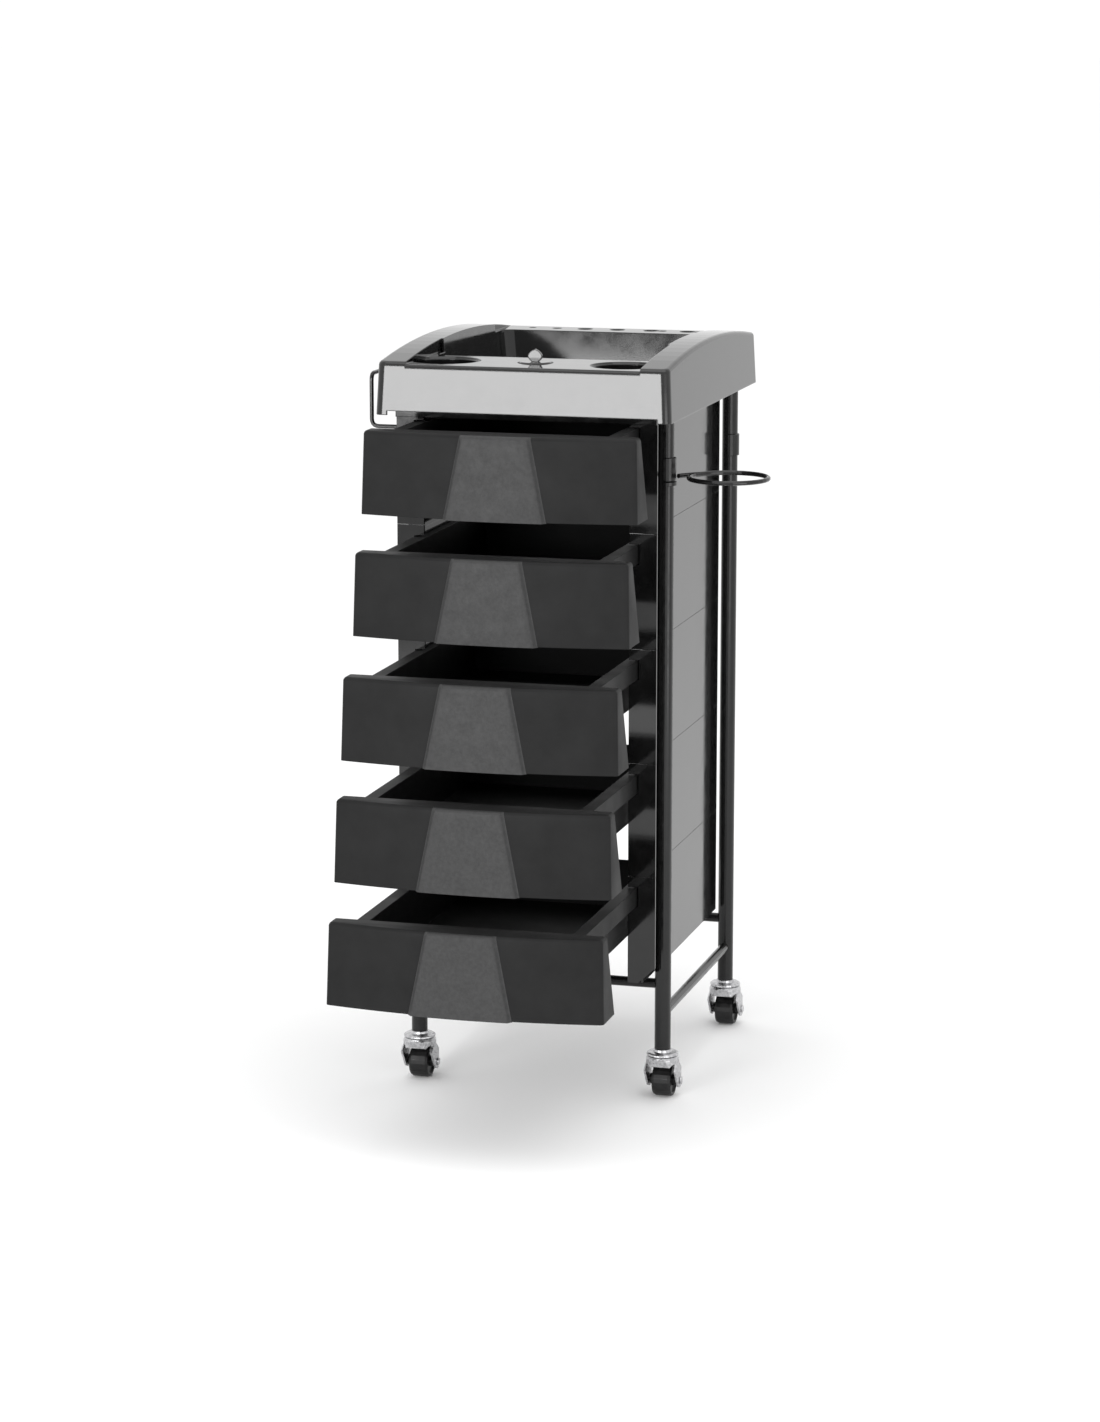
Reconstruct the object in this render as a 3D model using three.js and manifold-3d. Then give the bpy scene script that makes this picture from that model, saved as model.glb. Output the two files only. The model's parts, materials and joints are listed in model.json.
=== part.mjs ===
// Rolling salon trolley: tube frame on four swivel casters, stacked moulded side panels, five sliding
// drawers with bowed fronts, a moulded top tray, a towel rail and a swivelling tool ring.
// Millimetres, +Z up, front towards -Y, origin on the floor under the middle of the frame.
import * as THREE from 'three';
import { mergeVertices } from 'three/addons/utils/BufferGeometryUtils.js';
import Module from 'manifold-3d';

const wasm = await Module();
wasm.setup();

// ---- driving dimensions ----
const GAP = 0.35; // air left between touching pieces

const POST_X = 154; // post axes, left and right of the middle
const POST_Y = 167.7; // post axes, in front of and behind the middle
const POST_RADIUS = 9.8;
const POST_WALL = 1.5;
const POST_BOTTOM = 62;
const POST_TOP = 844.6;
const BAR_RADIUS = 6;
const SIDE_BAR_Z = 105.3;
const CROSS_BAR_Z = 142.3;

const PITCH = 137.2; // height taken by one drawer and by one side panel
const DRAWER_COUNT = 5;
const TOP_DRAWER_Z = 824.6; // upper edge of the top drawer's front

const PANEL_OVER_DRAWER = 11.8; // a panel's top edge above its drawer's top edge
const PANEL_BOTTOM = 157.3;
const WEB_OUTER_X = 143.8;
const WEB_THICKNESS = 2.8;
const WEB_REAR_Y = 154;
const REAR_LIP_X = 128;
const FLANGE_FRONT_Y = -228;
const FLANGE_THICKNESS = 3;
const FLANGE_INNER_X = 125.4;
const FLANGE_OUTER_X = 158.8;

const RAIL_OUTER_X = 136; // drawer rims slide in the panels' channels
const RAIL_DROP = 2; // rim below the front's upper edge
const RAIL_HEIGHT = 22;
const RUNNER_THICKNESS = 2.5;
const BOX_OUTER_X = 123.5;
const BOX_HEIGHT = 61;
const BOX_LENGTH = 377;
const BOX_WALL = 2.5;
const BOX_SETBACK = 1.2; // behind the slanted back edge of the front

const FRONT_HALF_WIDTH = 162.6;
const FRONT_HEIGHT = 97.2;
const FRONT_FLARE = 2.4; // each side wider at the bottom
const FRONT_LEAN = 4; // bottom further forward
const FRONT_SAG = 16; // how far the middle bows forward
const FRONT_TOP_DEPTH = 20.6;
const FRONT_BOTTOM_DEPTH = 46;
const FRONT_SKIN = 2.6;
const CORNER_RADIUS = 5;
const CLOSED_FRONT_Y = -250; // front's corners with the drawer shut
const OPENINGS = [94, 129.5, 177.5, 206.5, 238.5]; // how far each drawer stands open, top to bottom

const PLATE_TOP_HALF = 42;
const PLATE_BOTTOM_HALF = 61.5;
const PLATE_RELIEF = 4.6;
const PLATE_BEVEL = 6;

const TRAY_HALF_WIDTH = 179;
const TRAY_FRONT_Y = -250;
const TRAY_REAR_Y = 210;
const TRAY_BOTTOM = 831;
const TRAY_TAPER = 4; // each wall leans in by this much at the top
const TRAY_CORNER = 9;
const TRAY_EDGE = 4.5; // rounding of the outer upper edges
const TRAY_WALL = 3.4;
const RIM_CREST_Z = 909.5; // side rims are arcs, highest in the middle
const RIM_END_Z = 893;
const DECK_Z = 891;
const REAR_STRIP_Z = 894.4;
const WELL_HALF_WIDTH = 142;
const WELL_FRONT_Y = -141;
const WELL_REAR_Y = 156;
const WELL_FLOOR_Z = 848.4;
const WELL_LEAN = 10; // the well's walls lean outwards by this much over their height
const CUP_X = 110;
const CUP_Y = -189;
const CUP_RADIUS = 38;
const CUP_RIM_RADIUS = 43;
const CUP_DEPTH = 30;
const SKIRT_NOTCH_Z = 836;
const SKIRT_NOTCH_HALF = 164;
const TOOL_ROW_Y = 181;
const ROUND_TOOL_HOLES = [[-107, 4.6], [-75, 6.3], [-38, 9.8], [4, 9.8]]; // x, radius
const KEYHOLES_X = [53, 100];
const KEYHOLE_RADIUS = 10;

const KNOB_RADIUS = 19;
const KNOB_Y = -187;
const KNOB_FIN_HEIGHT = 17;
const KNOB_FIN_HALF = 8.6;

const TOWEL_X = -209;
const TOWEL_LOW_Z = 807;
const TOWEL_HIGH_Z = 870;
const TOWEL_WIRE = 2.6;
const TOWEL_BEND = 9;

const RING_CENTRE = [227, -156];
const RING_RADIUS = 46.8;
const RING_WIRE = 2.8;
const RING_Z = 758.5;
const SLEEVE_RADIUS = 12.4;

const WHEEL_RADIUS = 20;
const WHEEL_HALF_WIDTH = 12;
const CASTER_TRAIL = 10;
const CASTER_CAP_RADIUS = 20;
const FORK_CHEEK = 2.4;
const AXLE_RADIUS = 3;

// ---- materials ----
function material(color, roughness, metalness) {
  return new THREE.MeshStandardMaterial({ color, roughness, metalness });
}

const GLOSS_BLACK = material(0x141414, 0.12, 0);
const TUBE_BLACK = material(0x1a1a1c, 0.2, 0.3);
const SATIN_GREY = material(0x323232, 0.45, 0);
const PLATE_GREY = material(0x4a4a4a, 0.6, 0);
const ZINC = material(0xc4c6c8, 0.25, 1);
const RUBBER = material(0x181818, 0.7, 0);

// ---- solids ----
function solidOf(geometry) {
  const bare = geometry.clone();
  bare.deleteAttribute('normal');
  bare.deleteAttribute('uv');
  const merged = mergeVertices(bare, 1e-4);
  return new wasm.Manifold(new wasm.Mesh({
    numProp: 3,
    vertProperties: new Float32Array(merged.attributes.position.array),
    triVerts: new Uint32Array(merged.index.array),
  }));
}

function geometryOf(solid) {
  const mesh = solid.getMesh();
  const geometry = new THREE.BufferGeometry();
  geometry.setAttribute('position', new THREE.BufferAttribute(new Float32Array(mesh.vertProperties), 3));
  geometry.setIndex(new THREE.BufferAttribute(new Uint32Array(mesh.triVerts), 1));
  geometry.computeVertexNormals();
  return geometry;
}

function block(low, high) {
  const size = high.map((v, i) => v - low[i]);
  const geometry = new THREE.BoxGeometry(...size);
  geometry.translate(...low.map((v, i) => v + size[i] / 2));
  return solidOf(geometry);
}

// A cylinder or cone frustum between two heights.
function drum(x, y, lowZ, highZ, radius, topRadius = radius, sides = 32) {
  const geometry = new THREE.CylinderGeometry(topRadius, radius, highZ - lowZ, sides);
  geometry.rotateX(Math.PI / 2);
  geometry.translate(x, y, (lowZ + highZ) / 2);
  return solidOf(geometry);
}

// A straight round bar between two points.
function bar(from, to, radius, sides = 16) {
  const start = new THREE.Vector3(...from);
  const along = new THREE.Vector3(...to).sub(start);
  const geometry = new THREE.CylinderGeometry(radius, radius, along.length(), sides);
  const up = new THREE.Vector3(0, 1, 0);
  geometry.applyQuaternion(new THREE.Quaternion().setFromUnitVectors(up, along.clone().normalize()));
  geometry.translate(...start.addScaledVector(along, 0.5).toArray());
  return solidOf(geometry);
}

// A closed or on-axis profile of [radius, z] turned about Z.
function turned(profile, sides = 32) {
  const geometry = new THREE.LatheGeometry(profile.map(([r, z]) => new THREE.Vector2(r, z)), sides);
  geometry.rotateX(Math.PI / 2);
  return solidOf(geometry);
}

function outline(points) {
  return new THREE.Shape(points.map(([a, b]) => new THREE.Vector2(a, b)));
}

function extrudedUp(points, lowZ, highZ) {
  const geometry = new THREE.ExtrudeGeometry(outline(points), { depth: highZ - lowZ, bevelEnabled: false });
  geometry.translate(0, 0, lowZ);
  return solidOf(geometry);
}

// An outline of [y, z] points extruded along X.
function extrudedAcross(points, lowX, highX) {
  const geometry = new THREE.ExtrudeGeometry(outline(points), { depth: highX - lowX, bevelEnabled: false });
  geometry.applyMatrix4(new THREE.Matrix4().set(0, 0, 1, lowX, 1, 0, 0, 0, 0, 1, 0, 0, 0, 0, 0, 1));
  return solidOf(geometry);
}

function solidFromFaces(points, faces) {
  const geometry = new THREE.BufferGeometry();
  geometry.setAttribute('position', new THREE.Float32BufferAttribute(points.flat(), 3));
  geometry.setIndex(faces.flat());
  return solidOf(geometry);
}

// A solid through horizontal sections, listed upwards; each is anticlockwise with the same point count.
function loft(sections) {
  const count = sections[0].length;
  const faces = [];
  for (let level = 0; level < sections.length - 1; level++) {
    for (let i = 0; i < count; i++) {
      const a = level * count + i;
      const b = level * count + (i + 1) % count;
      faces.push([a, b, b + count], [a, b + count, a + count]);
    }
  }
  const topStart = (sections.length - 1) * count;
  const flat = (section) => section.map(([x, y]) => new THREE.Vector2(x, y));
  const cap = (section) => THREE.ShapeUtils.triangulateShape(flat(section), []);
  for (const [a, b, c] of cap(sections[0])) faces.push([c, b, a]);
  for (const [a, b, c] of cap(sections.at(-1))) faces.push([a + topStart, b + topStart, c + topStart]);
  return solidFromFaces(sections.flat(), faces);
}

function roundedRectangle(halfX, lowY, highY, radius, z, steps = 5) {
  const corners = [
    [halfX - radius, highY - radius, 0],
    [-halfX + radius, highY - radius, 1],
    [-halfX + radius, lowY + radius, 2],
    [halfX - radius, lowY + radius, 3],
  ];
  return corners.flatMap(([x, y, quarter]) => Array.from({ length: steps + 1 }, (_, i) => {
    const angle = (quarter + i / steps) * Math.PI / 2;
    return [x + radius * Math.cos(angle), y + radius * Math.sin(angle), z];
  }));
}

// A wire path given by its own points, so that bends get short steps and straights long ones.
class WirePath extends THREE.Curve {
  constructor(points) {
    super();
    this.points = points.map((p) => new THREE.Vector3(...p));
  }

  getPointAt(t) {
    return this.points[Math.round(t * (this.points.length - 1))].clone();
  }

  getTangentAt(t) {
    const i = Math.round(t * (this.points.length - 1));
    const before = this.points[Math.max(i - 1, 0)];
    const after = this.points[Math.min(i + 1, this.points.length - 1)];
    return after.clone().sub(before).normalize();
  }
}

// An arc in a shape gets two sides for each curve segment.
function wire(points, radius, sides = 10) {
  const section = new THREE.Shape().absarc(0, 0, radius, 0, Math.PI * 2);
  return solidOf(new THREE.ExtrudeGeometry(section, {
    steps: points.length - 1,
    curveSegments: sides / 2,
    extrudePath: new WirePath(points),
  }));
}

// Points of a polyline whose corners are rounded by quarter bends.
function bentPoints(corners, radius, steps = 5) {
  const points = [corners[0]];
  for (let i = 1; i < corners.length - 1; i++) {
    const corner = new THREE.Vector3(...corners[i]);
    const enter = new THREE.Vector3(...corners[i - 1]).sub(corner).setLength(radius).add(corner);
    const leave = new THREE.Vector3(...corners[i + 1]).sub(corner).setLength(radius).add(corner);
    const bend = new THREE.QuadraticBezierCurve3(enter, corner, leave);
    points.push(...bend.getPoints(steps).map((p) => p.toArray()));
  }
  points.push(corners.at(-1));
  return points;
}

// ---- assembly helpers ----
const trolley = new THREE.Group();

function place(name, solid, look, position = [0, 0, 0]) {
  const mesh = new THREE.Mesh(geometryOf(solid), look);
  mesh.name = name;
  mesh.position.set(...position);
  trolley.add(mesh);
}

const CORNERS = [
  ['front_left', -POST_X, -POST_Y],
  ['front_right', POST_X, -POST_Y],
  ['rear_left', -POST_X, POST_Y],
  ['rear_right', POST_X, POST_Y],
];

// ---- tube frame ----
function postTube() {
  const inner = POST_RADIUS - POST_WALL;
  return turned([
    [inner, POST_BOTTOM],
    [POST_RADIUS, POST_BOTTOM],
    [POST_RADIUS, POST_TOP],
    [inner, POST_TOP],
    [inner, POST_BOTTOM],
  ], 24);
}

function coped(solid) {
  const radius = POST_RADIUS + GAP;
  const posts = CORNERS.map(([, x, y]) => drum(x, y, 0, POST_TOP, radius, radius, 24));
  return posts.reduce((left, post) => left.subtract(post), solid);
}

for (const [corner, x, y] of CORNERS) place(`post_${corner}`, postTube(), TUBE_BLACK, [x, y, 0]);
for (const [side, x] of [['left', -POST_X], ['right', POST_X]]) {
  const whole = bar([x, -POST_Y, SIDE_BAR_Z], [x, POST_Y, SIDE_BAR_Z], BAR_RADIUS);
  place(`side_bar_${side}`, coped(whole), TUBE_BLACK);
}
for (const [end, y] of [['front', -POST_Y], ['rear', POST_Y]]) {
  const whole = bar([-POST_X, y, CROSS_BAR_Z], [POST_X, y, CROSS_BAR_Z], BAR_RADIUS);
  place(`cross_bar_${end}`, coped(whole), TUBE_BLACK);
}

// ---- stacked side panels, each with a channel for its drawer's rim ----
function sidePanel(drawerTop, isLast) {
  const top = drawerTop + PANEL_OVER_DRAWER - GAP / 2;
  const bottom = isLast ? PANEL_BOTTOM : drawerTop + PANEL_OVER_DRAWER - PITCH + GAP / 2;
  const webInner = WEB_OUTER_X - WEB_THICKNESS;
  const flangeBack = FLANGE_FRONT_Y + FLANGE_THICKNESS;
  const lipFront = WEB_REAR_Y - WEB_THICKNESS;
  const railTop = drawerTop - RAIL_DROP;
  const railBottom = railTop - RAIL_HEIGHT;
  const runnerTop = railBottom - 0.6;
  const keeperBottom = railTop + 0.9;
  const section = [
    [FLANGE_INNER_X, FLANGE_FRONT_Y], [FLANGE_OUTER_X, FLANGE_FRONT_Y], [FLANGE_OUTER_X, flangeBack],
    [WEB_OUTER_X, flangeBack], [WEB_OUTER_X, WEB_REAR_Y], [REAR_LIP_X, WEB_REAR_Y], [REAR_LIP_X, lipFront],
    [webInner, lipFront], [webInner, flangeBack], [FLANGE_INNER_X, flangeBack],
  ];
  let panel = extrudedUp(section, bottom, top);
  panel = panel.subtract(block(
    [FLANGE_INNER_X - 1, FLANGE_FRONT_Y - 1, railBottom - 1],
    [RAIL_OUTER_X + 1.5, flangeBack + 0.01, railTop + 1],
  ));
  panel = panel.add(block(
    [REAR_LIP_X, flangeBack - 1, runnerTop - RUNNER_THICKNESS],
    [webInner + 1, lipFront + 1, runnerTop],
  ));
  panel = panel.add(block(
    [REAR_LIP_X + 3, flangeBack + 1, keeperBottom],
    [webInner + 1, lipFront + 1, keeperBottom + RUNNER_THICKNESS],
  ));
  if (isLast) {
    const edge = FLANGE_OUTER_X + 1;
    const wedge = outline([[edge - 23, bottom - 1], [edge, bottom - 1], [edge, bottom + 20]]);
    const geometry = new THREE.ExtrudeGeometry(wedge, { depth: FLANGE_THICKNESS + 2, bevelEnabled: false });
    geometry.rotateX(Math.PI / 2);
    geometry.translate(0, flangeBack + 0.01, 0);
    panel = panel.subtract(solidOf(geometry));
  }
  return panel;
}

for (let i = 0; i < DRAWER_COUNT; i++) {
  const panel = sidePanel(TOP_DRAWER_Z - i * PITCH, i === DRAWER_COUNT - 1);
  place(`side_panel_right_${i + 1}`, panel, GLOSS_BLACK);
  place(`side_panel_left_${i + 1}`, panel.mirror([1, 0, 0]), GLOSS_BLACK);
}

place('front_top_rail', block(
  [-FLANGE_OUTER_X, FLANGE_FRONT_Y - 3.6, TOP_DRAWER_Z + 2.6],
  [FLANGE_OUTER_X, FLANGE_FRONT_Y - GAP, TOP_DRAWER_Z + 13.6],
), GLOSS_BLACK);

// ---- drawers, modelled shut with the front's corners at y = 0 and the upper edge at z = 0 ----
function frontSection(halfWidth, cornerY, backY, z) {
  const steps = 16;
  const straight = halfWidth - CORNER_RADIUS;
  const bow = (x) => cornerY + CORNER_RADIUS * 0.16 - FRONT_SAG * (1 - (x / halfWidth) ** 2);
  const side = bow(straight) + CORNER_RADIUS;
  const left = [
    [-halfWidth, backY, z],
    [-halfWidth, side, z],
    [-halfWidth + CORNER_RADIUS * 0.3, side - CORNER_RADIUS * 0.7, z],
  ];
  const middle = Array.from({ length: steps + 1 }, (_, i) => {
    const x = -straight + 2 * straight * i / steps;
    return [x, bow(x), z];
  });
  const right = left.map(([x, y]) => [-x, y, z]).reverse();
  return [...left, ...middle, ...right];
}

// inset moves the walls inwards; the levels round the upper edge.
function frontBody(inset, lowZ, highZ) {
  const levels = [[lowZ, 0], [highZ - 5, 0], [highZ - 1.6, 1.4], [highZ, 4.5]];
  return loft(levels.map(([z, rounding]) => {
    const down = -z / FRONT_HEIGHT;
    const depth = FRONT_TOP_DEPTH + (FRONT_BOTTOM_DEPTH - FRONT_TOP_DEPTH) * down;
    const halfWidth = FRONT_HALF_WIDTH + FRONT_FLARE * down - inset - rounding;
    const back = inset > 0 ? depth + 10 : depth;
    return frontSection(halfWidth, -FRONT_LEAN * down + inset + rounding, back, z);
  }));
}

function drawerFront() {
  return frontBody(0, -FRONT_HEIGHT, 0).subtract(frontBody(FRONT_SKIN, -FRONT_HEIGHT - 1, -FRONT_SKIN));
}

// The raised trapezoid in the middle of the front, with bevelled sides.
function drawerPlate() {
  const columns = 8;
  const levels = [-FRONT_HEIGHT - 1, -4.6];
  const surface = (stand, shrink) => levels.flatMap((z, level) => {
    const down = -z / FRONT_HEIGHT;
    const half = PLATE_TOP_HALF + (PLATE_BOTTOM_HALF - PLATE_TOP_HALF) * down - shrink;
    const halfWidth = FRONT_HALF_WIDTH + FRONT_FLARE * down;
    const height = z + (level === 0 ? 0 : -shrink * 0.3);
    return Array.from({ length: columns + 1 }, (_, i) => {
      const x = -half + 2 * half * i / columns;
      const bowed = -FRONT_LEAN * down + CORNER_RADIUS * 0.16 - FRONT_SAG * (1 - (x / halfWidth) ** 2);
      return [x, bowed - stand, height];
    });
  });
  const front = surface(PLATE_RELIEF, PLATE_BEVEL);
  const back = surface(GAP, 0);
  const row = columns + 1;
  const shift = front.length;
  const faces = [];
  for (let i = 0; i < columns; i++) {
    faces.push([i, i + 1, i + 1 + row], [i, i + 1 + row, i + row]);
    faces.push([shift + i + 1, shift + i, shift + i + row]);
    faces.push([shift + i + 1, shift + i + row, shift + i + 1 + row]);
    faces.push([shift + i, shift + i + 1, i + 1], [shift + i, i + 1, i]);
    faces.push([row + i, row + i + 1, shift + row + i + 1], [row + i, shift + row + i + 1, shift + row + i]);
  }
  faces.push([0, row, shift + row], [0, shift + row, shift]);
  const last = columns;
  faces.push([last, shift + last, shift + last + row], [last, shift + last + row, last + row]);
  return solidFromFaces([...front, ...back], faces);
}

function drawerBox() {
  const front = FRONT_TOP_DEPTH + BOX_SETBACK;
  const rear = front + BOX_LENGTH;
  const top = -RAIL_DROP;
  const bottom = top - BOX_HEIGHT;
  const inner = BOX_OUTER_X - BOX_WALL;
  let box = block([-BOX_OUTER_X, front, bottom], [BOX_OUTER_X, rear, top]);
  box = box.add(block([-RAIL_OUTER_X, front, top - RAIL_HEIGHT], [RAIL_OUTER_X, rear, top]));
  box = box.subtract(block([-inner, front + BOX_WALL, bottom + BOX_WALL], [inner, rear - BOX_WALL, top + 1]));
  for (const side of [-1, 1]) {
    const xs = [side * BOX_OUTER_X, side * (RAIL_OUTER_X - BOX_WALL)].sort((a, b) => a - b);
    box = box.subtract(block([xs[0], front - 1, top - RAIL_HEIGHT - 1], [xs[1], rear + 1, top - BOX_WALL]));
  }
  return box;
}

const front = drawerFront();
const plate = drawerPlate();
const box = drawerBox();
for (let i = 0; i < DRAWER_COUNT; i++) {
  const at = [0, CLOSED_FRONT_Y - OPENINGS[i], TOP_DRAWER_Z - i * PITCH];
  place(`drawer_front_${i + 1}`, front, SATIN_GREY, at);
  place(`drawer_plate_${i + 1}`, plate, PLATE_GREY, at);
  place(`drawer_box_${i + 1}`, box, SATIN_GREY, at);
}

// ---- top tray ----
// The arc of the side rims, lowered by drop, as [y, z] points from front to rear.
function rimArc(drop) {
  const steps = 18;
  const middle = (TRAY_FRONT_Y + TRAY_REAR_Y) / 2;
  const reach = (TRAY_REAR_Y - TRAY_FRONT_Y) / 2;
  return Array.from({ length: steps + 1 }, (_, i) => {
    const y = TRAY_FRONT_Y - 1 + (2 * reach + 2) * i / steps;
    return [y, RIM_CREST_Z - (RIM_CREST_Z - RIM_END_Z) * ((y - middle) / reach) ** 2 - drop];
  });
}

// The upper edge of the outer form, moved in by inset and down by drop, following the arc.
function trayEdgeRing(inset, drop) {
  const stations = rimArc(0).slice(2, -2).map(([y]) => y);
  const arcZ = (y) => {
    const middle = (TRAY_FRONT_Y + TRAY_REAR_Y) / 2;
    const reach = (TRAY_REAR_Y - TRAY_FRONT_Y) / 2;
    return RIM_CREST_Z - (RIM_CREST_Z - RIM_END_Z) * ((y - middle) / reach) ** 2 - drop;
  };
  const shrink = (z) => inset + TRAY_TAPER * (z - TRAY_BOTTOM) / (RIM_CREST_Z + 5 - TRAY_BOTTOM);
  const ends = shrink(arcZ(TRAY_REAR_Y));
  const corners = roundedRectangle(
    TRAY_HALF_WIDTH - ends, TRAY_FRONT_Y + ends, TRAY_REAR_Y - ends, TRAY_CORNER - inset * 0.8, 0,
  );
  const sides = stations.flatMap((y) => {
    const halfX = TRAY_HALF_WIDTH - shrink(arcZ(y));
    return [[-halfX, y, 0], [halfX, y, 0]];
  });
  return [...corners, ...sides].map(([x, y]) => [x, y, arcZ(y)]);
}

function trayOutside() {
  const base = roundedRectangle(TRAY_HALF_WIDTH, TRAY_FRONT_Y, TRAY_REAR_Y, TRAY_CORNER, TRAY_BOTTOM);
  const rings = [0, 30, 60, 90].map((degrees) => {
    const angle = THREE.MathUtils.degToRad(degrees);
    return trayEdgeRing(TRAY_EDGE * (1 - Math.cos(angle)), TRAY_EDGE * (1 - Math.sin(angle)));
  });
  return wasm.Manifold.hull([...base, ...rings.flat()]);
}

// Cuts a level edge round; outward is -1 for the front edge and 1 for the rear one.
function edgeCut(edgeY, edgeZ, outward) {
  const profile = [];
  for (let i = 0; i <= 4; i++) {
    const angle = i / 4 * Math.PI / 2;
    const y = edgeY - outward * TRAY_EDGE * (1 - Math.sin(angle));
    profile.push([y, edgeZ - TRAY_EDGE * (1 - Math.cos(angle))]);
  }
  profile.push([edgeY + outward * 2, edgeZ - TRAY_EDGE], [edgeY + outward * 2, edgeZ + 2]);
  profile.push([edgeY - outward * TRAY_EDGE, edgeZ + 2]);
  return extrudedAcross(outward < 0 ? profile : profile.reverse(), -WELL_HALF_WIDTH, WELL_HALF_WIDTH);
}

// The space inside the outer walls, before the well, cups and deck are put in.
function trayInside() {
  const section = (z, lean) => {
    const shrink = TRAY_WALL + lean;
    const corner = TRAY_CORNER - TRAY_WALL / 2;
    return roundedRectangle(TRAY_HALF_WIDTH - shrink, TRAY_FRONT_Y + shrink, TRAY_REAR_Y - shrink, corner, z);
  };
  const walls = loft([section(TRAY_BOTTOM - 1, 0), section(RIM_CREST_Z + 5, TRAY_TAPER)]);
  const under = [[TRAY_REAR_Y + 1, TRAY_BOTTOM - 2], [TRAY_FRONT_Y - 1, TRAY_BOTTOM - 2]];
  const profile = [...rimArc(TRAY_WALL), ...under].reverse();
  const wide = TRAY_HALF_WIDTH + 1;
  return walls.intersect(extrudedAcross(profile, -wide, wide));
}

// Lowers the front deck and the rear strip between the side rims.
function levelled(solid, inset) {
  const half = WELL_HALF_WIDTH + inset;
  const high = RIM_CREST_Z + 10;
  return solid
    .subtract(block([-half, TRAY_FRONT_Y - 5, DECK_Z - inset], [half, WELL_FRONT_Y + 40, high]))
    .subtract(block([-half, WELL_REAR_Y - 40, REAR_STRIP_Z - inset], [half, TRAY_REAR_Y + 5, high]));
}

function wellBlock(grow, floorZ) {
  const section = (z, lean) => roundedRectangle(
    WELL_HALF_WIDTH + grow - lean, WELL_FRONT_Y - grow + lean, WELL_REAR_Y + grow - lean, 14 + grow, z,
  );
  return loft([section(floorZ, WELL_LEAN), section(RIM_CREST_Z + 20, 0)]);
}

// The side rims' inner faces flatten the outer side of each cup.
function cupCut(x) {
  const deck = block(
    [-WELL_HALF_WIDTH, TRAY_FRONT_Y, TRAY_BOTTOM],
    [WELL_HALF_WIDTH, WELL_FRONT_Y, RIM_CREST_Z],
  );
  return drum(x, CUP_Y, DECK_Z - CUP_DEPTH, DECK_Z + 5, CUP_RADIUS - 2, CUP_RADIUS, 40)
    .add(drum(x, CUP_Y, DECK_Z - 2.4, DECK_Z + 1, CUP_RIM_RADIUS - 2.6, CUP_RIM_RADIUS, 40))
    .intersect(deck);
}

function toolHoles() {
  const low = REAR_STRIP_Z - 10;
  const high = REAR_STRIP_Z + 5;
  const round = ROUND_TOOL_HOLES.map(([x, radius]) => drum(x, TOOL_ROW_Y, low, high, radius, radius, 20));
  const keyholes = KEYHOLES_X.flatMap((x) => [
    drum(x - 5, TOOL_ROW_Y, low, high, KEYHOLE_RADIUS, KEYHOLE_RADIUS, 20),
    drum(x + 9, TOOL_ROW_Y, low, high, KEYHOLE_RADIUS * 0.62, KEYHOLE_RADIUS * 0.62, 20),
  ]);
  return [...round, ...keyholes].reduce((all, hole) => all.add(hole));
}

function tray() {
  let hollow = levelled(trayInside(), TRAY_WALL).subtract(wellBlock(TRAY_WALL, WELL_FLOOR_Z - TRAY_WALL));
  for (const x of [-CUP_X, CUP_X]) {
    const cupLow = DECK_Z - CUP_DEPTH - TRAY_WALL;
    hollow = hollow.subtract(drum(x, CUP_Y, cupLow, DECK_Z, CUP_RIM_RADIUS, CUP_RIM_RADIUS, 40));
  }
  let shell = levelled(trayOutside(), 0).subtract(hollow).subtract(wellBlock(0, WELL_FLOOR_Z));
  for (const x of [-CUP_X, CUP_X]) shell = shell.subtract(cupCut(x));
  shell = shell.subtract(toolHoles());
  const endLean = TRAY_TAPER * (DECK_Z - TRAY_BOTTOM) / (RIM_CREST_Z + 5 - TRAY_BOTTOM);
  shell = shell.subtract(edgeCut(TRAY_FRONT_Y + endLean, DECK_Z, -1));
  const recess = KNOB_RADIUS + 2.2;
  shell = shell.subtract(drum(0, KNOB_Y, DECK_Z - 1.6, DECK_Z + 5, recess, recess, 40));
  const notchLow = [-SKIRT_NOTCH_HALF, TRAY_FRONT_Y - 5, TRAY_BOTTOM - 5];
  return shell.subtract(block(notchLow, [SKIRT_NOTCH_HALF, TRAY_FRONT_Y + 12, SKIRT_NOTCH_Z]));
}

place('tray', tray(), GLOSS_BLACK);

// Turn knob: a low disc with an upright leaf-shaped fin, modelled about its own axis.
function turnKnob() {
  const disc = turned([[0, 0], [KNOB_RADIUS, 0], [KNOB_RADIUS, 1.6], [KNOB_RADIUS - 2, 2.6], [0, 2.6]], 40);
  const steps = 12;
  const leaf = Array.from({ length: steps + 1 }, (_, i) => {
    const t = i / steps;
    return [KNOB_FIN_HALF * Math.sin(Math.PI * t) ** 0.8, KNOB_FIN_HEIGHT * t];
  });
  const edge = [...leaf, ...leaf.slice(1, -1).reverse().map(([x, z]) => [-x, z])];
  const geometry = new THREE.ExtrudeGeometry(outline(edge), { depth: 4.4, bevelEnabled: false });
  geometry.rotateX(Math.PI / 2);
  geometry.translate(0, 2.2, 0.4);
  return disc.add(solidOf(geometry));
}

place('turn_knob', turnKnob(), GLOSS_BLACK, [0, KNOB_Y, DECK_Z - 1.6 + GAP]);

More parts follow.
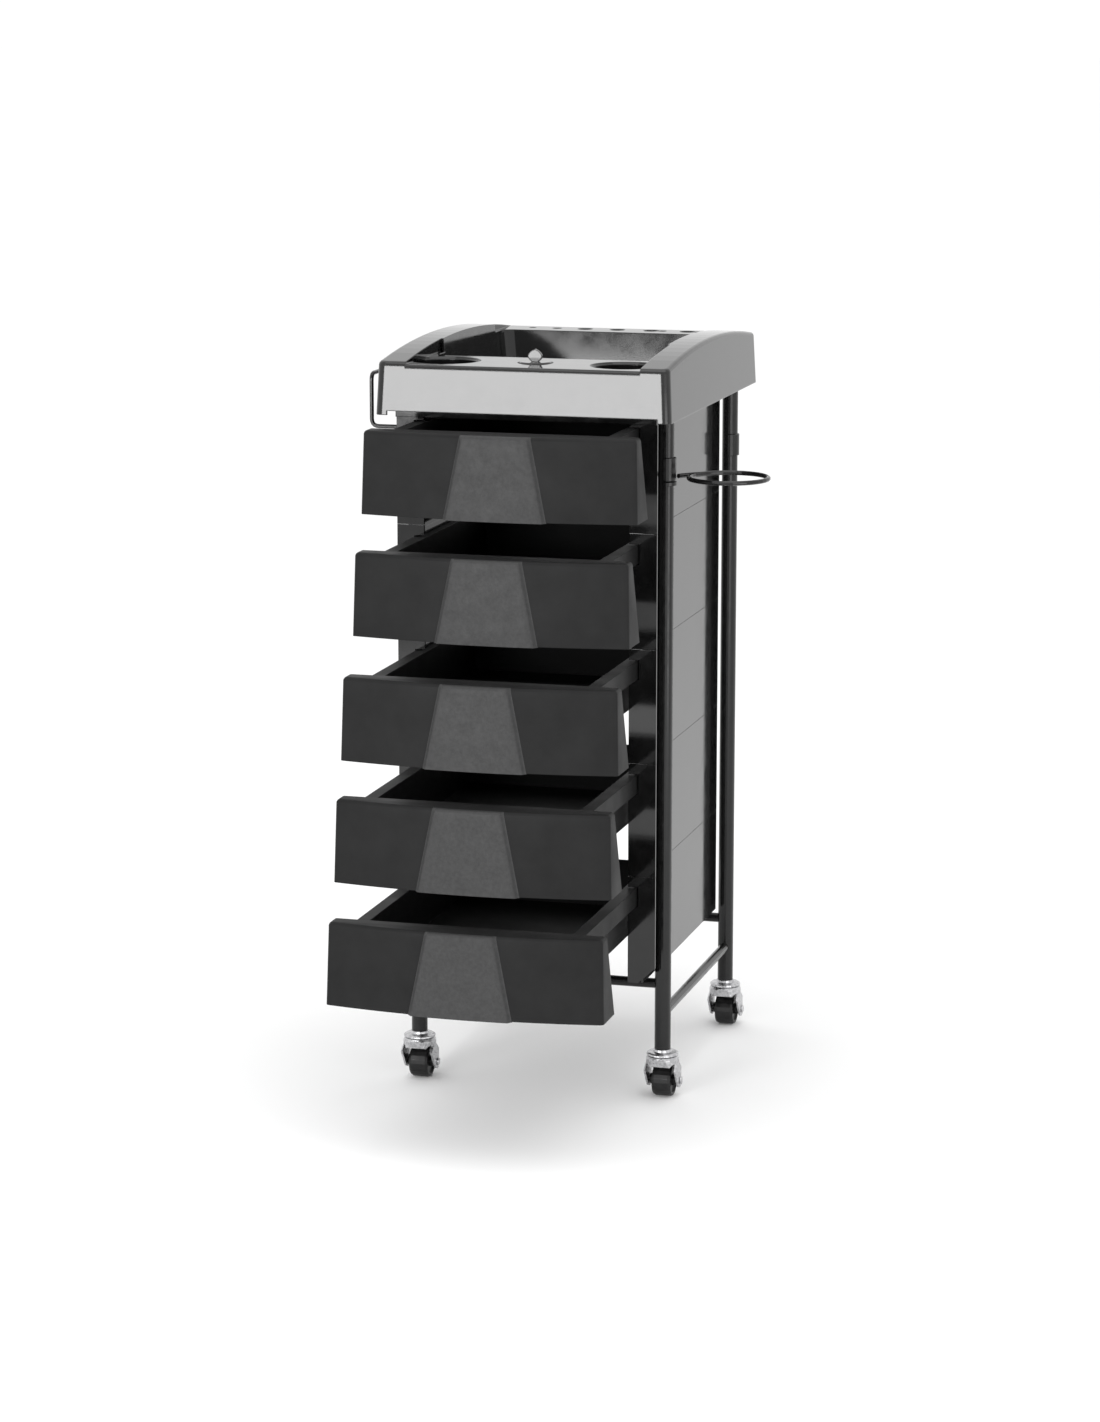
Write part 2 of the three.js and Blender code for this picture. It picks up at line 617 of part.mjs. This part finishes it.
// ---- towel rail on the left posts ----
const towelStart = -POST_X - POST_RADIUS - GAP;
place('towel_rail', wire(bentPoints([
  [towelStart, -POST_Y, TOWEL_LOW_Z],
  [TOWEL_X, -POST_Y, TOWEL_LOW_Z],
  [TOWEL_X, -POST_Y, TOWEL_HIGH_Z],
  [TOWEL_X, POST_Y, TOWEL_HIGH_Z],
  [TOWEL_X, POST_Y, TOWEL_LOW_Z],
  [towelStart, POST_Y, TOWEL_LOW_Z],
], TOWEL_BEND), TOWEL_WIRE), TUBE_BLACK);

// ---- tool ring on the front right post ----
// A half collar that clips round the outer side of a post, clear of the side panel.
function sleeve(radius, lowZ, highZ) {
  const inner = POST_RADIUS + GAP;
  const whole = turned([
    [inner, lowZ], [radius, lowZ + 0.8], [radius, highZ - 0.8], [inner, highZ], [inner, lowZ],
  ], 24);
  return whole.subtract(block([-radius - 1, -radius - 1, lowZ - 1], [0, radius + 1, highZ + 1]));
}

function toolRing() {
  const [centreX, centreY] = RING_CENTRE;
  const steps = 36;
  const startAngle = THREE.MathUtils.degToRad(150);
  const sweep = THREE.MathUtils.degToRad(346);
  const round = Array.from({ length: steps + 1 }, (_, i) => {
    const angle = startAngle - sweep * i / steps;
    return [centreX + RING_RADIUS * Math.cos(angle), centreY + RING_RADIUS * Math.sin(angle), RING_Z];
  });
  const along = [Math.sin(startAngle), -Math.cos(startAngle)];
  const entry = [round[0][0] - 12 * along[0], round[0][1] - 12 * along[1], RING_Z + 0.6];
  const root = [POST_X + SLEEVE_RADIUS + 2.4, -POST_Y + 2, RING_Z + 1.5];
  const lead = new THREE.QuadraticBezierCurve3(
    new THREE.Vector3(...root), new THREE.Vector3(...entry), new THREE.Vector3(...round[0]),
  ).getPoints(7).slice(0, -1).map((p) => p.toArray());
  return wire([...lead, ...round], RING_WIRE);
}

place('tool_ring', toolRing(), TUBE_BLACK);
place('ring_sleeve', sleeve(SLEEVE_RADIUS, RING_Z - 4, RING_Z + 24), TUBE_BLACK, [POST_X, -POST_Y, 0]);
const stopCollar = sleeve(SLEEVE_RADIUS + 0.8, RING_Z - 10, RING_Z - 4.4);
place('ring_stop_collar', stopCollar, TUBE_BLACK, [POST_X, -POST_Y, 0]);
place('rear_post_collar', sleeve(SLEEVE_RADIUS - 0.6, 742, 770), TUBE_BLACK, [POST_X, POST_Y, 0]);

// ---- casters, each modelled about its post's axis ----
function casterStem() {
  const pin = POST_RADIUS - POST_WALL - GAP;
  return turned([
    [0, 53.8], [18.6, 53.8], [19.6, 54.8], [19.2, 56.6], [17.2, 57.8], [11.4, 58.4],
    [10.6, 61.4], [pin, 61.6], [pin, 88], [pin - 1.6, 90], [0, 90],
  ], 20);
}

function casterFork() {
  const top = 53.3;
  const wheelRoom = CASTER_CAP_RADIUS - FORK_CHEEK;
  const cheek = [
    [-18, 46], [-16, 38], [-4, 21], [2, 13.5], [9, 11], [16, 13], [20, 19], [22.5, 30], [20, 46],
  ];
  const profile = [...cheek, [19.4, top], [-19.4, top]];
  let fork = extrudedAcross(profile, -CASTER_CAP_RADIUS, CASTER_CAP_RADIUS);
  const envelope = turned([
    [0, 0], [CASTER_CAP_RADIUS + 5, 0], [CASTER_CAP_RADIUS + 5, 36], [CASTER_CAP_RADIUS + 0.2, 44],
    [CASTER_CAP_RADIUS + 0.2, 50], [CASTER_CAP_RADIUS - 1.4, top], [0, top],
  ], 28);
  fork = fork.intersect(envelope);
  const slot = [[-30, 0], [34, 0], [34, 30], [20, 43], [4, 47], [-12, 45], [-30, 34]];
  fork = fork.subtract(extrudedAcross(slot, -wheelRoom, wheelRoom));
  const left = [-30, CASTER_TRAIL, WHEEL_RADIUS];
  const right = [30, CASTER_TRAIL, WHEEL_RADIUS];
  return fork.subtract(bar(left, right, AXLE_RADIUS + GAP, 16));
}

function casterAxle() {
  const half = CASTER_CAP_RADIUS + 1.8;
  const profile = [
    [0, -half], [AXLE_RADIUS + 1.4, -half], [AXLE_RADIUS + 1.8, -half + 1.4], [AXLE_RADIUS, -half + 1.4],
    [AXLE_RADIUS, half - 1.4], [AXLE_RADIUS + 1.8, half - 1.4], [AXLE_RADIUS + 1.4, half], [0, half],
  ];
  return turned(profile, 12);
}

function casterWheel() {
  const bore = AXLE_RADIUS + GAP;
  const hub = CASTER_CAP_RADIUS - FORK_CHEEK - 0.8;
  const half = [
    [bore, hub], [6.5, hub], [7, WHEEL_HALF_WIDTH - 2.5], [15.5, WHEEL_HALF_WIDTH - 2.5],
    [16, WHEEL_HALF_WIDTH], [18.6, WHEEL_HALF_WIDTH - 0.4], [WHEEL_RADIUS, WHEEL_HALF_WIDTH - 3],
  ];
  const mirrored = half.map(([r, x]) => [r, -x]).reverse();
  return turned([...half, ...mirrored, half[0]].reverse(), 24);
}

const sideways = (solid) => solid.rotate([0, 90, 0]).translate([0, CASTER_TRAIL, WHEEL_RADIUS]);
for (const [corner, x, y] of CORNERS) {
  place(`caster_stem_${corner}`, casterStem(), ZINC, [x, y, 0]);
  place(`caster_fork_${corner}`, casterFork(), ZINC, [x, y, 0]);
  place(`caster_axle_${corner}`, sideways(casterAxle()), ZINC, [x, y, 0]);
  place(`caster_wheel_${corner}`, sideways(casterWheel()), RUBBER, [x, y, 0]);
}

export default trolley;
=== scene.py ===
import json
import math

import bmesh
import bpy
from mathutils import Euler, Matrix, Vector


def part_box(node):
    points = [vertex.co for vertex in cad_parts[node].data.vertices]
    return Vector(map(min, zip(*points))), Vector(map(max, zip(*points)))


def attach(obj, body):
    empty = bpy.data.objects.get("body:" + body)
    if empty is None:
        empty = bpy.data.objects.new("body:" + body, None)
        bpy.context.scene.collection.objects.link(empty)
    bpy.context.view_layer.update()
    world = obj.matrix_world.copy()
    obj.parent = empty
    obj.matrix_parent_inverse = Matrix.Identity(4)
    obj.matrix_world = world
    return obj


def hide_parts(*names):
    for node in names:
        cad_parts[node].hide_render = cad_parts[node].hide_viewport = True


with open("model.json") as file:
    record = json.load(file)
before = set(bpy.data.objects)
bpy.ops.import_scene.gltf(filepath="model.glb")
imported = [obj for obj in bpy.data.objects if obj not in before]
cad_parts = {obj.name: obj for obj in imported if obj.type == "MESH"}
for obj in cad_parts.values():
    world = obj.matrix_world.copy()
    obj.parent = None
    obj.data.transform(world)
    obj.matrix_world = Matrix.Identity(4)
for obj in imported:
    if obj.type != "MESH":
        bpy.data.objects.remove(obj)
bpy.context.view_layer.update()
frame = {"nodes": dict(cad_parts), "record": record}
scene = bpy.context.scene
MM = 0.001
DRAWER_COUNT = 5


# ---- camera, at the eye point from which the trolley was measured ----
CAMERA_PLACE = (1.2614, -4.6590, 1.3925)
CAMERA_YAW = 15.54
CAMERA_PITCH = 11.19
CAMERA_LENS = 100.2


def add_camera():
    data = bpy.data.cameras.new("camera")
    data.lens = CAMERA_LENS
    data.sensor_width = 36
    camera = bpy.data.objects.new("camera", data)
    camera.location = CAMERA_PLACE
    camera.rotation_euler = Euler((math.radians(90 - CAMERA_PITCH), 0, math.radians(CAMERA_YAW)))
    scene.collection.objects.link(camera)
    scene.camera = camera


# ---- studio: pale floor, soft light ----
FLOOR_HALF = 40


def add_floor():
    mesh = bpy.data.meshes.new("floor")
    half = FLOOR_HALF
    corners = [(-half, -half, 0), (half, -half, 0), (half, half, 0), (-half, half, 0)]
    mesh.from_pydata(corners, [], [(0, 1, 2, 3)])
    floor = bpy.data.objects.new("floor", mesh)
    scene.collection.objects.link(floor)
    look = bpy.data.materials.new("floor_paper")
    look.use_nodes = True
    shader = look.node_tree.nodes["Principled BSDF"]
    shader.inputs["Base Color"].default_value = (0.97, 0.97, 0.97, 1)
    shader.inputs["Roughness"].default_value = 0.9
    shader.inputs["Specular IOR Level"].default_value = 0.1
    mesh.materials.append(look)


def add_softbox(name, place, target, width, height, power):
    """A rectangular light of the given size in metres and power in watts, facing the target."""
    data = bpy.data.lights.new(name, "AREA")
    data.shape = "RECTANGLE"
    data.size = width
    data.size_y = height
    data.energy = power
    light = bpy.data.objects.new(name, data)
    light.location = place
    aim = Vector(target) - Vector(place)
    light.rotation_euler = aim.to_track_quat("-Z", "Y").to_euler()
    scene.collection.objects.link(light)


def add_world():
    world = bpy.data.worlds.new("studio")
    world.use_nodes = True
    background = world.node_tree.nodes["Background"]
    background.inputs["Color"].default_value = (1, 1, 1, 1)
    background.inputs["Strength"].default_value = 1.05
    scene.world = world


add_camera()
add_floor()
add_world()
add_softbox("front_softbox", (-0.87, -3.3, 0.90), (0, -0.25, 0.88), 1.1, 0.85, 39)
add_softbox("right_softbox", (1.95, -1.75, 0.42), (0, -0.35, 0.6), 1.2, 0.9, 9)
add_softbox("overhead_softbox", (0.3, -0.8, 3.2), (0, 0, 0.5), 2.4, 2.4, 24)
scene.view_settings.view_transform = "Standard"


# ---- materials ----
class Look:
    """A Principled material with procedural colour, roughness and relief."""

    def __init__(self, name, color, roughness, metallic=0.0, specular=0.5, edge=0.0):
        self.material = bpy.data.materials.new(name)
        self.material.use_nodes = True
        self.tree = self.material.node_tree
        self.shader = self.tree.nodes["Principled BSDF"]
        self.set("Base Color", (*color, 1))
        self.set("Roughness", roughness)
        self.set("Metallic", metallic)
        self.set("Specular IOR Level", specular)
        self.place = self.node("ShaderNodeTexCoord").outputs["Object"]
        self.normal = None
        if edge:
            rounded = self.node("ShaderNodeBevel")
            rounded.samples = 6
            rounded.inputs["Radius"].default_value = edge
            self.use_normal(rounded.outputs["Normal"])

    def node(self, kind):
        return self.tree.nodes.new(kind)

    def link(self, source, target):
        self.tree.links.new(source, target)

    def set(self, socket, value):
        self.shader.inputs[socket].default_value = value

    def use_normal(self, output):
        self.normal = output
        self.link(output, self.shader.inputs["Normal"])

    def noise(self, scale, detail, roughness=0.5):
        texture = self.node("ShaderNodeTexNoise")
        texture.inputs["Scale"].default_value = scale
        texture.inputs["Detail"].default_value = detail
        texture.inputs["Roughness"].default_value = roughness
        self.link(self.place, texture.inputs["Vector"])
        return texture.outputs["Fac"]

    def cells(self, scale):
        texture = self.node("ShaderNodeTexVoronoi")
        texture.inputs["Scale"].default_value = scale
        self.link(self.place, texture.inputs["Vector"])
        return texture.outputs["Distance"]

    def spread(self, source, low, high, start=0.3, end=0.7):
        """Maps a 0 to 1 pattern onto a range."""
        ranged = self.node("ShaderNodeMapRange")
        ranged.inputs["From Min"].default_value = start
        ranged.inputs["From Max"].default_value = end
        ranged.inputs["To Min"].default_value = low
        ranged.inputs["To Max"].default_value = high
        self.link(source, ranged.inputs["Value"])
        return ranged.outputs["Result"]

    def vary_roughness(self, source, low, high):
        self.link(self.spread(source, low, high), self.shader.inputs["Roughness"])

    def vary_color(self, source, dark, light, start=0.3, end=0.7):
        mix = self.node("ShaderNodeMix")
        mix.data_type = "RGBA"
        mix.inputs["A"].default_value = (*dark, 1)
        mix.inputs["B"].default_value = (*light, 1)
        self.link(self.spread(source, 0, 1, start, end), mix.inputs["Factor"])
        self.link(mix.outputs["Result"], self.shader.inputs["Base Color"])

    def relief(self, source, strength, depth):
        bump = self.node("ShaderNodeBump")
        bump.inputs["Strength"].default_value = strength
        bump.inputs["Distance"].default_value = depth
        self.link(source, bump.inputs["Height"])
        if self.normal:
            self.link(self.normal, bump.inputs["Normal"])
        self.use_normal(bump.outputs["Normal"])


def grey(value):
    return (value, value, value * 1.01)


def gloss_black(name="gloss_black", specular=0.5, edge=1.6 * MM):
    """High gloss moulded plastic: a faint waviness and uneven polish."""
    look = Look(name, grey(0.006), 0.07, specular=specular, edge=edge)
    look.vary_color(look.noise(90, 5), grey(0.004), grey(0.008))
    look.vary_roughness(look.noise(38, 6, 0.6), 0.05, 0.12)
    look.relief(look.noise(9, 2), 0.04, 0.4 * MM)
    look.relief(look.noise(900, 2), 0.05, 0.05 * MM)
    return look.material


def tube_black():
    """Gloss powder coat on steel tube, with its orange peel."""
    look = Look("tube_black", grey(0.006), 0.16, specular=0.38)
    look.vary_color(look.noise(140, 4), grey(0.004), grey(0.009))
    look.vary_roughness(look.noise(60, 5), 0.12, 0.24)
    look.relief(look.noise(420, 2), 0.16, 0.10 * MM)
    return look.material


def satin_grey(name="satin_grey", value=0.015):
    """Spark-eroded satin plastic: fine even grain and slight sheen changes."""
    look = Look(name, grey(value), 0.46, specular=0.08, edge=0.9 * MM)
    look.vary_color(look.noise(26, 6, 0.6), grey(value * 0.88), grey(value * 1.14))
    look.vary_roughness(look.noise(18, 5), 0.42, 0.54)
    look.relief(look.cells(1500), 0.16, 0.08 * MM)
    look.relief(look.noise(2600, 3), 0.14, 0.05 * MM)
    return look.material


def plate_grey():
    """The front's middle panel: lighter, with a coarser grain."""
    look = Look("plate_grey", grey(0.035), 0.46, specular=0.25, edge=0.8 * MM)
    look.vary_color(look.noise(210, 6, 0.65), grey(0.029), grey(0.042))
    look.vary_roughness(look.noise(60, 5), 0.48, 0.62)
    look.relief(look.cells(620), 0.22, 0.12 * MM)
    look.relief(look.noise(1500, 4), 0.22, 0.08 * MM)
    return look.material


def zinc():
    """Bright zinc plating with faint spangle and forming marks."""
    look = Look("zinc", (0.5, 0.5, 0.51), 0.3, metallic=1.0, edge=0.8 * MM)
    look.vary_color(look.cells(260), (0.42, 0.42, 0.43), (0.56, 0.56, 0.57))
    look.vary_roughness(look.noise(320, 5), 0.24, 0.36)
    look.relief(look.noise(700, 3), 0.04, 0.04 * MM)
    return look.material


def wheel_black():
    """Moulded wheel: matt tread with scuffs."""
    look = Look("wheel_black", grey(0.007), 0.36, specular=0.3, edge=1.6 * MM)
    look.vary_color(look.noise(180, 6, 0.7), grey(0.005), grey(0.014), 0.35, 0.75)
    look.vary_roughness(look.noise(90, 5), 0.28, 0.46)
    look.relief(look.noise(800, 4), 0.22, 0.10 * MM)
    return look.material


LOOKS = {
    "gloss_black": gloss_black(),
    "tube_black": tube_black(),
    "satin_grey": satin_grey(),
    "plate_grey": plate_grey(),
    "zinc": zinc(),
    "wheel_black": wheel_black(),
}
PANEL_BLACK = gloss_black("panel_black", specular=0.45, edge=0.5 * MM)
BOX_BLACK = satin_grey("drawer_black", 0.010)

# Edges that turn by more than this many degrees stay crisp.
CAD_CREASE = 34
SHELL_CREASE = 30
PLATE_CREASE = 50


def smooth_by_angle(mesh, degrees):
    """Shades smooth and keeps the edges sharper than the angle crisp."""
    limit = math.radians(degrees)
    work = bmesh.new()
    work.from_mesh(mesh)
    for face in work.faces:
        face.smooth = True
    for edge in work.edges:
        edge.smooth = not (len(edge.link_faces) == 2 and edge.calc_face_angle(0) > limit)
    work.to_mesh(mesh)
    work.free()


def dress_cad_nodes():
    slots = {row["node"]: row["material_slot"] for row in frame["record"]["subparts"]}
    for name, piece in frame["nodes"].items():
        look = LOOKS[slots[name]]
        if name.startswith("side_panel"):
            look = PANEL_BLACK
        if name.startswith("drawer_box"):
            look = BOX_BLACK
        piece.data.materials.clear()
        piece.data.materials.append(look)
        smooth_by_angle(piece.data, CAD_CREASE)


dress_cad_nodes()


# ---- mesh building ----
def add_piece(name, points, faces, body, slot):
    mesh = bpy.data.meshes.new(name)
    mesh.from_pydata(points, [], faces)
    mesh.materials.append(LOOKS[slot])
    piece = bpy.data.objects.new(name, mesh)
    scene.collection.objects.link(piece)
    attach(piece, body)
    return piece


def loft(sections):
    """Points and faces of a solid through closed level sections, listed upwards, of equal length."""
    count = len(sections[0])
    faces = [tuple(reversed(range(count)))]
    for level in range(len(sections) - 1):
        start = level * count
        for i in range(count):
            a = start + i
            b = start + (i + 1) % count
            faces.append((a, b, b + count, a + count))
    faces.append(tuple(range((len(sections) - 1) * count, len(sections) * count)))
    return [point for section in sections for point in section], faces


def apply_modifiers(piece):
    bpy.context.view_layer.update()
    depsgraph = bpy.context.evaluated_depsgraph_get()
    mesh = bpy.data.meshes.new_from_object(piece.evaluated_get(depsgraph))
    piece.modifiers.clear()
    piece.data = mesh


def carve(piece, cutter):
    """Cuts the cutter out of the piece and deletes the cutter."""
    cut = piece.modifiers.new("carve", "BOOLEAN")
    cut.operation = "DIFFERENCE"
    cut.object = cutter
    cut.solver = "EXACT"
    apply_modifiers(piece)
    bpy.data.objects.remove(cutter)


# ---- drawer fronts: bowed shells with a raised middle panel ----
FRONT_LEAN = 4.0 * MM
FRONT_SAG = 16.0 * MM
FRONT_FLARE = 2.4 * MM
TOP_DEPTH = 20.6 * MM
BOTTOM_DEPTH = 46.0 * MM
CORNER = 5.0 * MM
CORNER_SETBACK = CORNER * 0.16  # the corners stand this far behind the front's foremost line
TOP_ROUND = 4.5 * MM
SKIN = 2.6 * MM
OVERCUT = 8.0 * MM  # the hollow is cut this far past the open back
PLATE_TOP_HALF = 42.0 * MM
PLATE_BOTTOM_HALF = 61.5 * MM
PLATE_RELIEF = 4.5 * MM
PLATE_BEVEL = 5.0 * MM
PLATE_CLEARANCE = 0.02 * MM  # its thin edges stand this far off the front
PLATE_SINK = 1.2 * MM  # its back lies this deep in the front
PLATE_OVERHANG = 0.6 * MM  # it reaches this far below the front
ROUND_STEPS = 6
FRONT_COLUMNS = 44
FRONT_ROWS = 8
BEVEL_COLUMNS = 8
PLATE_COLUMNS = 16
PLATE_ROWS = 10


class DrawerFront:
    """The surface of one front, worked out from its CAD node's box."""

    def __init__(self, number):
        low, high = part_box(f"drawer_front_{number}")
        self.top = high.z
        self.height = high.z - low.z
        self.origin_y = high.y - BOTTOM_DEPTH
        self.half_top = high.x - FRONT_FLARE

    def down(self, drop):
        return drop / self.height

    def half_width(self, drop):
        return self.half_top + FRONT_FLARE * self.down(drop)

    def bow(self, x, half, drop):
        """How far forward the front stands at x, from the corner line."""
        return -FRONT_LEAN * self.down(drop) + CORNER_SETBACK - FRONT_SAG * (1 - (x / half) ** 2)

    def section(self, drop, inset, back_extra):
        """One level outline, drop below the upper edge and inset from the outer surface."""
        half = self.half_width(drop) - inset
        corner = max(CORNER - inset * 0.5, 2 * MM)
        straight = half - corner
        z = self.top - drop
        back = TOP_DEPTH + (BOTTOM_DEPTH - TOP_DEPTH) * self.down(drop) + back_extra
        side = self.bow(straight, half, drop) + inset + corner
        rounded = []
        for i in range(ROUND_STEPS):
            angle = math.pi / 2 * i / ROUND_STEPS
            rounded.append((straight + corner * math.cos(angle), side - corner * math.sin(angle)))
        right = [(half, back), (half, (back + side) / 2)] + rounded
        path = [(-x, y) for x, y in right]
        for i in range(FRONT_COLUMNS + 1):
            x = -straight + 2 * straight * i / FRONT_COLUMNS
            path.append((x, self.bow(x, half, drop) + inset))
        path += reversed(right)
        return [(x, self.origin_y + y, z) for x, y in path]

    def outer(self):
        drops = [self.height * (1 - i / FRONT_ROWS) for i in range(FRONT_ROWS)] + [TOP_ROUND]
        sections = [self.section(drop, 0, 0) for drop in drops]
        for i in range(1, ROUND_STEPS + 1):
            angle = math.pi / 2 * i / ROUND_STEPS
            drop = TOP_ROUND * (1 - math.sin(angle))
            inset = TOP_ROUND * (1 - math.cos(angle))
            sections.append(self.section(drop, inset, 0))
        return sections

    def inner(self):
        drops = [self.height + 1 * MM, self.height * 0.5, SKIN + 2 * MM, SKIN]
        insets = [SKIN, SKIN, SKIN, SKIN + 2 * MM]
        return [self.section(drop, inset, OVERCUT) for drop, inset in zip(drops, insets)]

    def plate_half(self, drop):
        return PLATE_TOP_HALF + (PLATE_BOTTOM_HALF - PLATE_TOP_HALF) * self.down(drop)

    def plate_point(self, side, lift, drop, inset):
        """A point of the raised panel: side runs from -1 to 1, lift is its height off the front."""
        x = side * self.plate_half(drop)
        y = self.bow(x, self.half_width(drop), drop) + inset - lift
        return (x, self.origin_y + y, self.top - drop)


def smoothstep(t):
    return t * t * (3 - 2 * t)


def plate_columns(half):
    """Across the raised panel: positions from -1 to 1 and the share of the full relief there."""
    bevel = PLATE_BEVEL / half
    left = []
    for i in range(BEVEL_COLUMNS):
        step = i / BEVEL_COLUMNS
        left.append((-1 + bevel * step, smoothstep(step)))
    flat = 2 - 2 * bevel
    middle = [(-1 + bevel + flat * i / PLATE_COLUMNS, 1.0) for i in range(PLATE_COLUMNS + 1)]
    right = [(-side, share) for side, share in reversed(left)]
    return left + middle + right


def plate_rows(front):
    """Up the raised panel: how far below the upper edge, and how far back the rounding takes it."""
    rows = [(front.height + PLATE_OVERHANG, 0.0)]
    rows += [(front.height * (1 - i / PLATE_ROWS), 0.0) for i in range(1, PLATE_ROWS)]
    rows.append((TOP_ROUND, 0.0))
    for i in range(1, ROUND_STEPS):
        angle = math.pi / 2 * i / ROUND_STEPS
        rows.append((TOP_ROUND * (1 - math.sin(angle)), TOP_ROUND * (1 - math.cos(angle))))
    return rows


def plate_grid(front):
    """Points and faces of the closed raised panel: a front grid, a back grid and a rim."""
    rows = plate_rows(front)
    front_points = []
    back_points = []
    for drop, inset in rows:
        columns = plate_columns(front.plate_half(drop))
        for side, share in columns:
            lift = share * PLATE_RELIEF + PLATE_CLEARANCE
            front_points.append(front.plate_point(side, lift, drop, inset))
            back_points.append(front.plate_point(side, -PLATE_SINK, drop, inset))
    height = len(rows)
    shift = len(front_points)
    width = shift // height
    faces = []
    for j in range(height - 1):
        for i in range(width - 1):
            a = j * width + i
            b = a + width
            faces.append((a, a + 1, b + 1, b))
            faces.append((shift + a, shift + b, shift + b + 1, shift + a + 1))
    for i in range(width - 1):
        top = (height - 1) * width + i
        faces.append((i, shift + i, shift + i + 1, i + 1))
        faces.append((top, top + 1, shift + top + 1, shift + top))
    for j in range(height - 1):
        left = j * width
        right = left + width - 1
        faces.append((left, left + width, shift + left + width, shift + left))
        faces.append((right, shift + right, shift + right + width, right + width))
    return front_points + back_points, faces


def build_drawer_front(number):
    front = DrawerFront(number)
    body = f"drawer_{number}"
    shell = add_piece(f"front_shell_{number}", *loft(front.outer()), body, "satin_grey")
    core = add_piece(f"front_core_{number}", *loft(front.inner()), body, "satin_grey")
    carve(shell, core)
    smooth_by_angle(shell.data, SHELL_CREASE)
    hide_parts(f"drawer_front_{number}")
    plate = add_piece(f"front_panel_{number}", *plate_grid(front), body, "plate_grey")
    smooth_by_angle(plate.data, PLATE_CREASE)
    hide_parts(f"drawer_plate_{number}")


for number in range(1, DRAWER_COUNT + 1):
    build_drawer_front(number)
